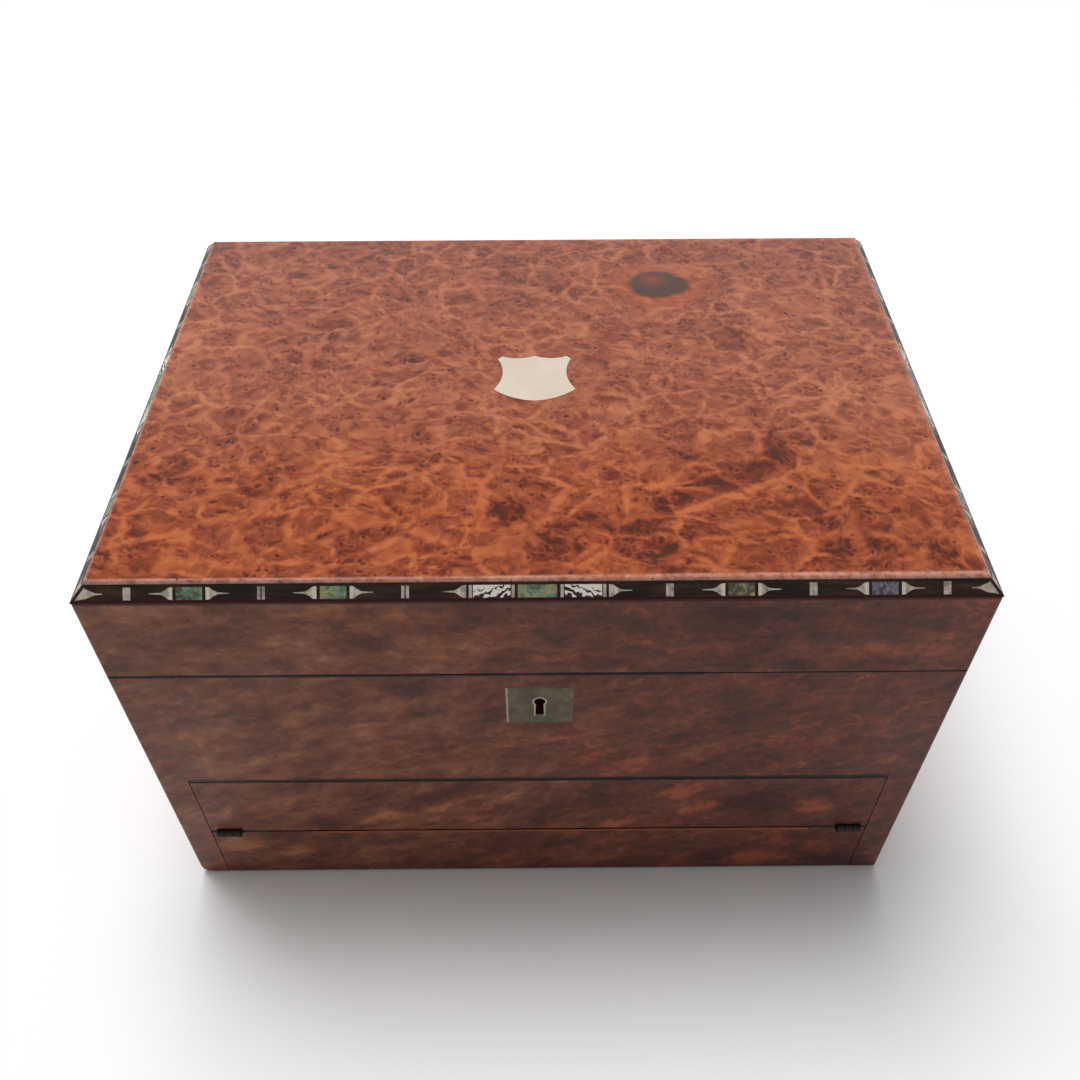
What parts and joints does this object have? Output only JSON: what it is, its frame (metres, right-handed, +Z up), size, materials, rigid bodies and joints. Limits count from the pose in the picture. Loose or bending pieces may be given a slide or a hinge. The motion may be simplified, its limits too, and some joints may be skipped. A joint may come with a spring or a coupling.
{
  "type": "fitted dressing box",
  "caption": "Veneered dressing box with an inlaid lid holding a mirror, a fitted lift-out tray, and a base drawer whose front falls on hinges.",
  "frame": {"origin": "middle of the base, on the surface that the box stands on", "axes": "+X to the right, +Y to the back, +Z up; the keyhole, flap and drawer face -Y"},
  "size_m": [0.305, 0.2228, 0.1935],
  "materials": {
    "burr_veneer": "French-polished burr veneer, satin",
    "top_veneer": "French-polished burr veneer, orange-brown, satin",
    "ebony": "polished ebony",
    "mahogany": "mahogany, waxed",
    "pearl": "mother-of-pearl, polished flush",
    "abalone": "abalone shell, polished flush",
    "silver_plate": "silver, lightly worn",
    "nickel_silver": "aged nickel silver",
    "brass": "aged brass",
    "dark_brass": "brass gone black",
    "spring_steel": "blued steel",
    "velvet": "plush velvet",
    "silk": "padded silk",
    "leather": "tooled leather",
    "mirror": "silvered plate glass",
    "cut_glass": "clear glass"
  },
  "bodies": {
    "root": {"base_board": "mahogany", "case_left": "burr_veneer", "case_right": "burr_veneer", "case_back": "burr_veneer", "case_front": "burr_veneer", "drawer_ceiling": "mahogany", "well_linings": "leather", "tray_bearers": "mahogany", "case_hinge_leaves": "brass", "case_hinge_screws": "brass", "lock_case": "brass", "lock_screws": "brass", "escutcheon": "nickel_silver", "catch_pin_bush": "brass", "drawer_spring": "spring_steel", "spring_screw": "spring_steel"},
    "lid": {"lid_left": "burr_veneer", "lid_right": "burr_veneer", "lid_front": "burr_veneer", "lid_back": "burr_veneer", "lid_top": "top_veneer", "shield": "silver_plate", "band_front": "ebony", "band_back": "ebony", "band_left": "ebony", "band_right": "ebony", "pearl_inlay": "pearl", "abalone_inlay": "abalone", "lid_hinge_leaves": "brass", "lid_hinge_screws": "brass", "lid_hinge_pins": "brass", "link_plate": "brass", "link_screws": "brass", "lid_pad": "silk", "mirror_frame": "leather", "mirror_glass": "mirror", "button_posts": "brass"},
    "turn_button_left": {"turn_button_left": "brass"},
    "turn_button_right": {"turn_button_right": "brass"},
    "lock_bolt": {"lock_bolt": "brass"},
    "catch_pin": {"catch_pin": "brass"},
    "drawer": {"drawer_rail": "burr_veneer", "drawer_left": "mahogany", "drawer_right": "mahogany", "drawer_back": "mahogany", "drawer_floor": "mahogany", "drawer_divider": "mahogany", "ring_pad": "velvet", "rail_hinge_leaves": "dark_brass"},
    "flap": {"flap": "burr_veneer", "flap_hinge_leaves": "dark_brass", "flap_hinge_pins": "dark_brass"},
    "tray": {"tray_floor": "leather", "tray_walls": "leather", "tray_dividers": "leather", "tray_straps": "leather", "square_jars": "cut_glass", "square_jar_caps": "silver_plate", "round_jars": "cut_glass", "round_jar_caps": "silver_plate"}
  },
  "joints": [
    {"name": "lid_hinge", "type": "hinge", "parent": "root", "child": "lid", "pos_m": [0, 0.1092, 0.148], "axis": [-1, 0, 0], "range_deg": [0, 100]},
    {"name": "drawer_slide", "type": "slide", "parent": "root", "child": "drawer", "axis": [0, -1, 0], "range_m": [0, 0.15]},
    {"name": "flap_hinge", "type": "hinge", "parent": "drawer", "child": "flap", "pos_m": [0, -0.1094, 0.037], "axis": [1, 0, 0], "range_deg": [0, 150]},
    {"name": "tray_lift", "type": "slide", "parent": "root", "child": "tray", "axis": [0, 0, 1], "range_m": [0, 0.02]},
    {"name": "bolt_slide", "type": "slide", "parent": "root", "child": "lock_bolt", "axis": [1, 0, 0], "range_m": [0, 0.005]},
    {"name": "catch_pin_push", "type": "slide", "parent": "root", "child": "catch_pin", "axis": [0, 0, 1], "range_m": [-0.006, 0]},
    {"name": "button_left_turn", "type": "hinge", "parent": "lid", "child": "turn_button_left", "pos_m": [-0.124, 0, 0.173], "axis": [0, 0, 1], "range_deg": [0, 90]},
    {"name": "button_right_turn", "type": "hinge", "parent": "lid", "child": "turn_button_right", "pos_m": [0.124, 0, 0.173], "axis": [0, 0, 1], "range_deg": [0, 90]}
  ]
}
